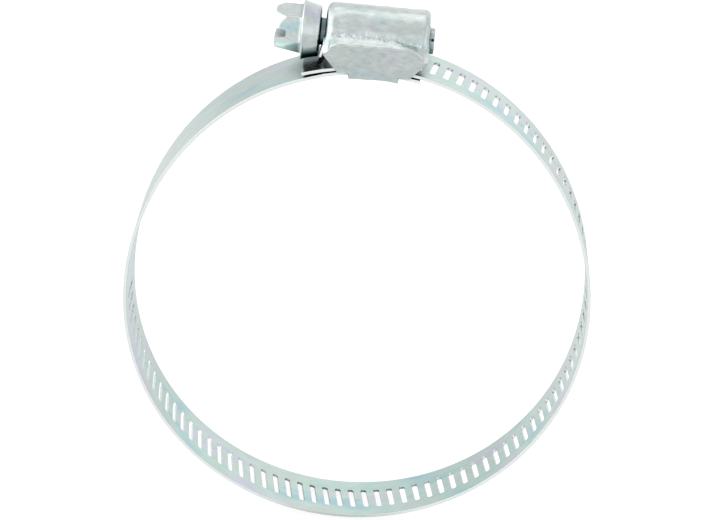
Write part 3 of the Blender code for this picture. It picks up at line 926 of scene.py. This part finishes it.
def housing_half(side):
    """Grid of points down one side: rows from the hump's top to the tab's end, a list of columns in each."""
    columns = housing_columns()
    grid = []
    for hump_x, inward, skirt_x in columns:
        profile = np.array(side_profile(hump_x, side))
        ahead = np.vstack([profile[1:], 2 * profile[-1] - profile[-2]])
        behind = np.vstack([[-profile[1][0], profile[1][1]], profile[:-1]])
        along = ahead - behind
        along /= np.linalg.norm(along, axis=1, keepdims=True)
        normals = np.stack([-along[:, 1], along[:, 0]], -1)
        crease = profile[CREASE_ROW]
        line = []
        for row, ((across, height), (normal_y, normal_z)) in enumerate(zip(profile, normals)):
            on_hump = float(smooth_step((height - 0.2) / 2.2))
            share = 0.16 + 0.84 * on_hump
            if height < CORNER_TOP:
                share *= float(smooth_step((height - CORNER_BOTTOM) / (CORNER_TOP - CORNER_BOTTOM)))
            x = share * hump_x + (1 - share) * skirt_x
            if height < CORNER_TOP:
                x = shortened(x, height)
            depth = inward * share
            away = math.hypot(across - crease[0], height - crease[1])
            raised = hammered(x, away, side * across, height) - depth
            y = side * (across + normal_y * raised)
            z = height + normal_z * raised
            if height < CORNER_BOTTOM:
                z -= x * x / (2 * TAB_CURVE) * float(smooth_step((CORNER_BOTTOM - height) / 1.0))
            line.append((HOUSING_SHIFT + x, y, AXIS_Z + z))
        grid.append(line)
    return [list(row) for row in zip(*grid)]


def add_housing(material, cut_and_highlight_material):
    """One folded sheet: the outer face is a grid of rows down both sides, thickened inwards."""
    front = housing_half(-1)
    back = housing_half(1)
    rows = front[::-1] + back[1:]
    columns = housing_columns()
    last = len(rows) - 1
    tab_top = AXIS_Z + CORNER_BOTTOM - 0.05
    numbers = {}
    faces = []
    for row in range(last):
        low = rows[row][len(columns) // 2][2] < tab_top or rows[row + 1][len(columns) // 2][2] < tab_top
        for column in range(len(columns) - 1):
            outside = max(abs(columns[column][2]), abs(columns[column + 1][2])) > TAB_LENGTH + 0.01
            if low and outside:
                continue
            corners = [(row, column), (row, column + 1), (row + 1, column + 1), (row + 1, column)]
            faces.append([numbers.setdefault(corner, len(numbers)) for corner in corners])
    points = [rows[row][column] for row, column in numbers]
    housing = new_object("housing_pressing", points, faces, [material, cut_and_highlight_material])
    turn_outwards(housing)
    plate = housing.modifiers.new("sheet", "SOLIDIFY")
    plate.thickness = SHEET * MM
    plate.offset = -1.0
    # the sheet's rims and rounded edges take the near-white material: partly a painted highlight
    plate.material_offset_rim = 1
    rounding = housing.modifiers.new("edges", "BEVEL")
    rounding.material = 1
    rounding.width = 0.15 * MM
    rounding.segments = 2
    rounding.limit_method = "ANGLE"
    rounding.angle_limit = math.radians(50.0)
    rounding.harden_normals = True
    apply_modifiers(housing)
    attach(housing, "housing")
    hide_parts("housing")


def turn_outwards(piece):
    """Makes an open sheet's faces look away from the screw's axis, as they do on top of the hump."""
    mesh = piece.data
    highest = max(mesh.polygons, key=lambda polygon: polygon.center.z)
    if highest.normal.z < 0:
        mesh.flip_normals()


def add_neck_lip(material, cut_and_highlight_material):
    """The lower half of the left end wall. It leans outwards and is hollowed for the screw's neck."""
    columns, rows = 24, 10
    reach, hollow, top, bottom = 3.2, 2.85, 1.6, 4.1  # across, and below the screw's axis
    wall_x, lean_reach = -9.8, 0.5
    points = []
    for column in range(columns + 1):
        across = reach * (2 * column / columns - 1)
        upper = max(top, math.sqrt(max(hollow**2 - across**2, 0.0)))
        lower = bottom - 0.9 * max(abs(across) / reach - 0.75, 0.0)
        for row in range(rows + 1):
            down = upper + (lower - upper) * row / rows
            lean = (down - top) / (bottom - top)
            points.append((wall_x - lean_reach * lean**0.8, across, AXIS_Z - down))
    faces = []
    for column in range(columns):
        for row in range(rows):
            first = column * (rows + 1) + row
            faces.append([first, first + 1, first + rows + 2, first + rows + 1])
    lip = new_object("housing_neck_lip", points, faces, [material, cut_and_highlight_material])
    plate = lip.modifiers.new("sheet", "SOLIDIFY")
    plate.thickness = 0.5 * MM
    plate.offset = 0.0
    # the lip's rims take the near-white material: partly a painted highlight
    plate.material_offset_rim = 1
    rounding = lip.modifiers.new("edges", "BEVEL")
    rounding.width = 0.05 * MM
    rounding.segments = 2
    rounding.limit_method = "ANGLE"
    rounding.angle_limit = math.radians(50.0)
    apply_modifiers(lip)
    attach(lip, "housing")


# ---------------------------------------------------------------- studio


CAMERA_ROUND = math.radians(0.3)
CAMERA_UP = math.radians(25.9)
CAMERA_ROLL = math.radians(5.17)
CAMERA_AWAY = 460.0
FOCAL_LENGTH = 121.0
VIEW_SHIFT = (3.7 / 720, 30.0 / 720)

# (direction the light comes from, tightness, strength)
LOBES = [
    ((-0.95, 0.20, 0.10), 9.0, 1.7),
    ((-0.58, -0.74, 0.30), 9.0, 1.3),
    ((0.0, 0.42, 0.90), 50.0, 0.45),
    ((0.0, 0.26, 0.97), 30.0, 0.38),
    ((0.0, 0.80, 0.60), 12.0, 0.10),
    ((-0.55, -0.18, 0.81), 12.0, 0.95),
    ((0.15, 1.0, 0.05), 5.0, 0.30),
    ((-0.45, 0.88, 0.0), 9.0, -0.25),
    ((0.45, -0.80, 0.25), 8.0, 0.50),
    ((0.88, -0.25, 0.40), 12.0, 0.35),
    ((0.0, -0.80, 0.60), 14.0, -0.26),
    ((0.0, -0.97, 0.22), 40.0, -0.22),
    ((0.0, -0.99, -0.04), 60.0, 0.25),
]
SKY = 0.90
FLOOR_SIZE = 6.0  # metres
FLOOR_GAP = 0.9  # the ring grows by nearly this much below when the screw is backed out
FLOOR_GLOW_SEEN = 0.90
FLOOR_GLOW_REFLECTED = 0.68
FLOOR_GREY = (0.22, 0.22, 0.22, 1.0)


def add_world():
    """A white tent: an even pale surround with soft lights and one darker side."""
    world = bpy.data.worlds.new("white_tent")
    bpy.context.scene.world = world
    world.use_nodes = True
    tree = world.node_tree
    direction = add_node(tree, "ShaderNodeTexCoord").outputs["Generated"]
    total = SKY
    for towards, tightness, strength in LOBES:
        unit = Vector(towards).normalized()
        product = add_node(tree, "ShaderNodeVectorMath", {0: direction, 1: unit}, operation="DOT_PRODUCT")
        dot = product.outputs["Value"]
        away = math_node(tree, "SUBTRACT", dot, 1.0)
        fall = math_node(tree, "EXPONENT", math_node(tree, "MULTIPLY", away, tightness))
        total = math_node(tree, "ADD", math_node(tree, "MULTIPLY", fall, strength), total)
    background = tree.nodes["Background"]
    tree.links.new(total, background.inputs["Strength"])
    background.inputs["Color"].default_value = (1.0, 1.0, 1.0, 1.0)


def add_floor():
    """A plain white floor. It glows a little so that it stays white, with a faint shadow under the ring."""
    low = CAD_BOX[0][2] - FLOOR_GAP * MM
    half = FLOOR_SIZE / 2
    points = [(-half, -half, low), (half, -half, low), (half, half, low), (-half, half, low)]
    mesh = bpy.data.meshes.new("floor")
    mesh.from_pydata(points, [], [(0, 1, 2, 3)])
    material = bpy.data.materials.new("white_floor")
    material.use_nodes = True
    tree = material.node_tree
    tree.nodes.clear()
    seen = add_node(tree, "ShaderNodeLightPath").outputs["Is Camera Ray"]
    strength = remap(tree, seen, (0.0, 1.0), (FLOOR_GLOW_REFLECTED, FLOOR_GLOW_SEEN))
    glow = add_node(tree, "ShaderNodeEmission", {"Color": (1.0, 1.0, 1.0, 1.0), "Strength": strength})
    matte = add_node(tree, "ShaderNodeBsdfDiffuse", {"Color": FLOOR_GREY}).outputs[0]
    both = add_node(tree, "ShaderNodeAddShader", {0: glow.outputs[0], 1: matte}).outputs[0]
    add_node(tree, "ShaderNodeOutputMaterial", {"Surface": both})
    mesh.materials.append(material)
    floor = bpy.data.objects.new("floor", mesh)
    bpy.context.scene.collection.objects.link(floor)


def add_camera():
    target = Vector((0.0, 0.0, CENTRE_Z * MM))
    back = Vector(
        (
            math.sin(CAMERA_ROUND) * math.cos(CAMERA_UP),
            -math.cos(CAMERA_ROUND) * math.cos(CAMERA_UP),
            math.sin(CAMERA_UP),
        )
    )
    right = Vector((math.cos(CAMERA_ROUND), math.sin(CAMERA_ROUND), 0.0))
    up = back.cross(right)
    turned_right = right * math.cos(CAMERA_ROLL) + up * math.sin(CAMERA_ROLL)
    turned_up = up * math.cos(CAMERA_ROLL) - right * math.sin(CAMERA_ROLL)
    data = bpy.data.cameras.new("camera")
    data.lens = FOCAL_LENGTH
    data.sensor_width = 36.0
    data.shift_x, data.shift_y = VIEW_SHIFT
    data.clip_start = 0.01
    camera = bpy.data.objects.new("camera", data)
    turn = Matrix((turned_right, turned_up, back)).transposed().to_4x4()
    camera.matrix_world = Matrix.Translation(target + back * CAMERA_AWAY * MM) @ turn
    bpy.context.scene.collection.objects.link(camera)
    bpy.context.scene.camera = camera


def main():
    cut_and_highlight_material = cut_steel_and_highlight_material()
    pressed_material = housing_material()
    add_strip(band_material())
    add_screw(screw_material())
    add_housing(pressed_material, cut_and_highlight_material)
    add_neck_lip(pressed_material, cut_and_highlight_material)
    add_world()
    add_floor()
    add_camera()
    bpy.context.scene.view_settings.view_transform = "Standard"


main()
